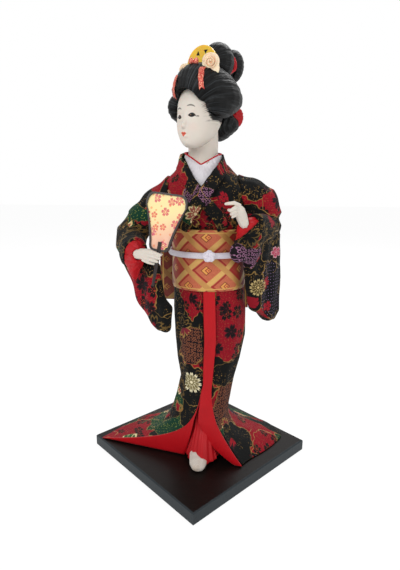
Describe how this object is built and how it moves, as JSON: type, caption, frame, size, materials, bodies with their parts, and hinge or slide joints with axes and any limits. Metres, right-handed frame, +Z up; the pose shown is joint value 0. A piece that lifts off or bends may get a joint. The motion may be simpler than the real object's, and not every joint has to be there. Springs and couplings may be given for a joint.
{
  "type": "geisha doll",
  "caption": "Standing geisha display doll in a trained kimono with obi, dressed hair and a fan, wired to a square lacquered base.",
  "frame": {"origin": "middle of the underside of the square base, which is the bottom centre of the whole doll", "axes": "+Z up along the figure, -Y to the doll's front, where a corner of the base points, +X to the viewer's right"},
  "size_m": [0.1698, 0.1698, 0.305],
  "materials": {
    "lacquered_board": "dark lacquer with blue-grey worn edges",
    "steel_wire": "drawn wire",
    "wound_paper": "matt",
    "white_skin": "matt off-white paint",
    "sock_cloth": "matt white cotton",
    "kimono_brocade": "woven brocade, black and red with gold thread",
    "red_satin": "satin",
    "white_crepe": "matt crepe and braid",
    "obi_brocade": "gold and rust brocade",
    "black_hair": "combed silk thread, satin",
    "amber_comb": "glossy amber",
    "cream_petals": "rolled ribbon",
    "glitter_ribbon": "ribbon with glitter",
    "fan_paper": "printed paper",
    "fan_wood": "dark lacquer"
  },
  "bodies": {
    "figure": {"base_plate": "lacquered_board", "support_rod": "steel_wire", "body_core": "wound_paper", "leg_front": "wound_paper", "leg_rear": "wound_paper", "arm_right": "wound_paper", "arm_left": "wound_paper", "hand_right": "white_skin", "hand_left": "white_skin", "foot_front": "sock_cloth", "foot_rear": "sock_cloth", "sleeve_right": "kimono_brocade", "sleeve_left": "kimono_brocade", "kimono_bodice": "kimono_brocade", "kimono_collar_right": "kimono_brocade", "kimono_collar_left": "kimono_brocade", "kimono_skirt": "kimono_brocade", "cuff_lining_right": "red_satin", "cuff_lining_left": "red_satin", "collar_piping": "red_satin", "skirt_lining_right": "red_satin", "front_band": "red_satin", "underskirt": "red_satin", "under_collar": "white_crepe", "obi_cord": "white_crepe", "obi_cord_knot": "white_crepe", "obi_band": "obi_brocade", "obi_tail_right": "obi_brocade", "obi_tail_left": "obi_brocade", "obi_drum": "obi_brocade"},
    "head": {"head": "white_skin", "hair_cap": "black_hair", "hair_wing_right": "black_hair", "hair_wing_left": "black_hair", "hair_nape_roll": "black_hair", "hair_bun_front": "black_hair", "hair_bun_rear": "black_hair", "bun_ribbon": "red_satin", "nape_band": "red_satin", "comb": "amber_comb", "rose_right": "cream_petals", "rose_left": "cream_petals", "hair_bow": "glitter_ribbon", "hair_ribbon_right": "glitter_ribbon", "hair_ribbon_left": "glitter_ribbon"},
    "fan": {"fan_leaf": "fan_paper", "fan_rim": "fan_wood", "fan_handle": "fan_wood"}
  },
  "joints": [
    {"name": "head_turn", "type": "hinge", "parent": "figure", "child": "head", "pos_m": [0.0021, 0.0012, 0.236], "axis": [0, 0, 1], "range_deg": [-25, 55]},
    {"name": "fan_draw", "type": "slide", "parent": "figure", "child": "fan", "axis": [0.1495, 0.1495, 0.9774], "range_m": [0, 0.018]}
  ]
}
